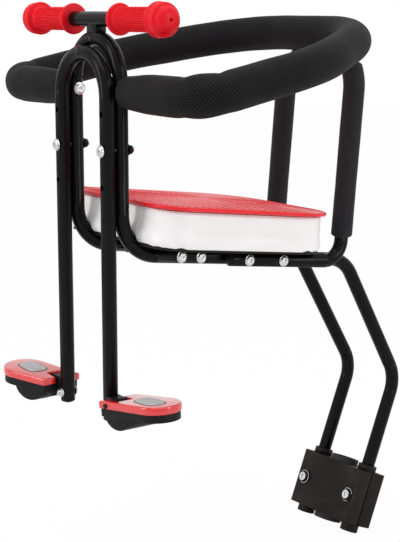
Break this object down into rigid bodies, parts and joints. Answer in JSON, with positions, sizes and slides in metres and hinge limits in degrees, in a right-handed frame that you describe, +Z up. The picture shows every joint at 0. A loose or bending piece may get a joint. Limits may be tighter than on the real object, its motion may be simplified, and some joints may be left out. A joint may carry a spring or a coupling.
{
  "type": "child bike seat",
  "caption": "Child bike seat on a bent tube frame, with a seat tube clamp, front handle, folding foot pedals, cushion, backrest and padded guard rail.",
  "frame": {"origin": "on the axis of the bicycle's seat tube, halfway up the clamp block", "axes": "+Z up with the bicycle upright, -Y forward along the bicycle, +X to the child's left"},
  "size_m": [0.442, 0.4987, 0.6906],
  "materials": {
    "frame_paint": "gloss black paint",
    "sleeve_foam": "closed cell foam",
    "mesh_fabric": "ribbed spacer mesh",
    "grip_rubber": "knurled red rubber",
    "seat_side_vinyl": "white vinyl",
    "seat_top_vinyl": "embossed red vinyl",
    "board_wood": "dark stained plywood",
    "pedal_red": "gloss red",
    "pedal_black": "satin black",
    "black_plastic": "satin black",
    "clamp_plastic": "satin black",
    "liner_rubber": "black rubber",
    "zinc_steel": "bright zinc"
  },
  "bodies": {
    "seat": {"main_frame": "frame_paint", "footrest_frame": "frame_paint", "backrest_frame": "frame_paint", "backrest_foam_left": "sleeve_foam", "backrest_foam_right": "sleeve_foam", "guard_rail": "frame_paint", "guard_padding": "mesh_fabric", "guard_inserts": "zinc_steel", "guard_bolts": "zinc_steel", "guard_washers": "zinc_steel", "guard_spacer": "frame_paint", "guard_rear_bolt": "zinc_steel", "guard_rear_nut": "zinc_steel", "handle_bar": "frame_paint", "handle_saddle": "frame_paint", "grip_left": "grip_rubber", "grip_right": "grip_rubber", "seat_cushion": "seat_side_vinyl", "seat_top": "seat_top_vinyl", "seat_board": "board_wood", "board_screws": "zinc_steel", "front_strap": "frame_paint", "rear_strap": "frame_paint", "front_rail_bolts": "zinc_steel", "front_rail_nuts": "zinc_steel", "rear_rail_bolts": "zinc_steel", "rear_rail_nuts": "zinc_steel", "frame_bolts": "zinc_steel", "frame_nuts": "zinc_steel", "backrest_plugs": "black_plastic", "leg_plugs": "black_plastic", "pedal_bracket_left": "black_plastic", "pedal_bracket_right": "black_plastic", "pedal_pin_left": "zinc_steel", "pedal_pin_right": "zinc_steel", "bracket_bolts": "zinc_steel", "bracket_nuts": "zinc_steel", "clamp_front": "clamp_plastic", "clamp_rear": "clamp_plastic", "clamp_liner_front": "liner_rubber", "clamp_liner_rear": "liner_rubber", "clamp_bolts": "zinc_steel", "clamp_nuts": "zinc_steel", "rod_collars": "clamp_plastic", "rod_end_caps": "clamp_plastic"},
    "left_pedal": {"pedal_tread_left": "pedal_red", "pedal_base_left": "pedal_black"},
    "right_pedal": {"pedal_tread_right": "pedal_red", "pedal_base_right": "pedal_black"}
  },
  "joints": [
    {"name": "left_pedal_fold", "type": "hinge", "parent": "seat", "child": "left_pedal", "pos_m": [0.0665, -0.3873, 0.2015], "axis": [0, -1, 0], "range_deg": [0, 75]},
    {"name": "right_pedal_fold", "type": "hinge", "parent": "seat", "child": "right_pedal", "pos_m": [-0.0665, -0.3873, 0.2015], "axis": [0, 1, 0], "range_deg": [0, 75]}
  ]
}
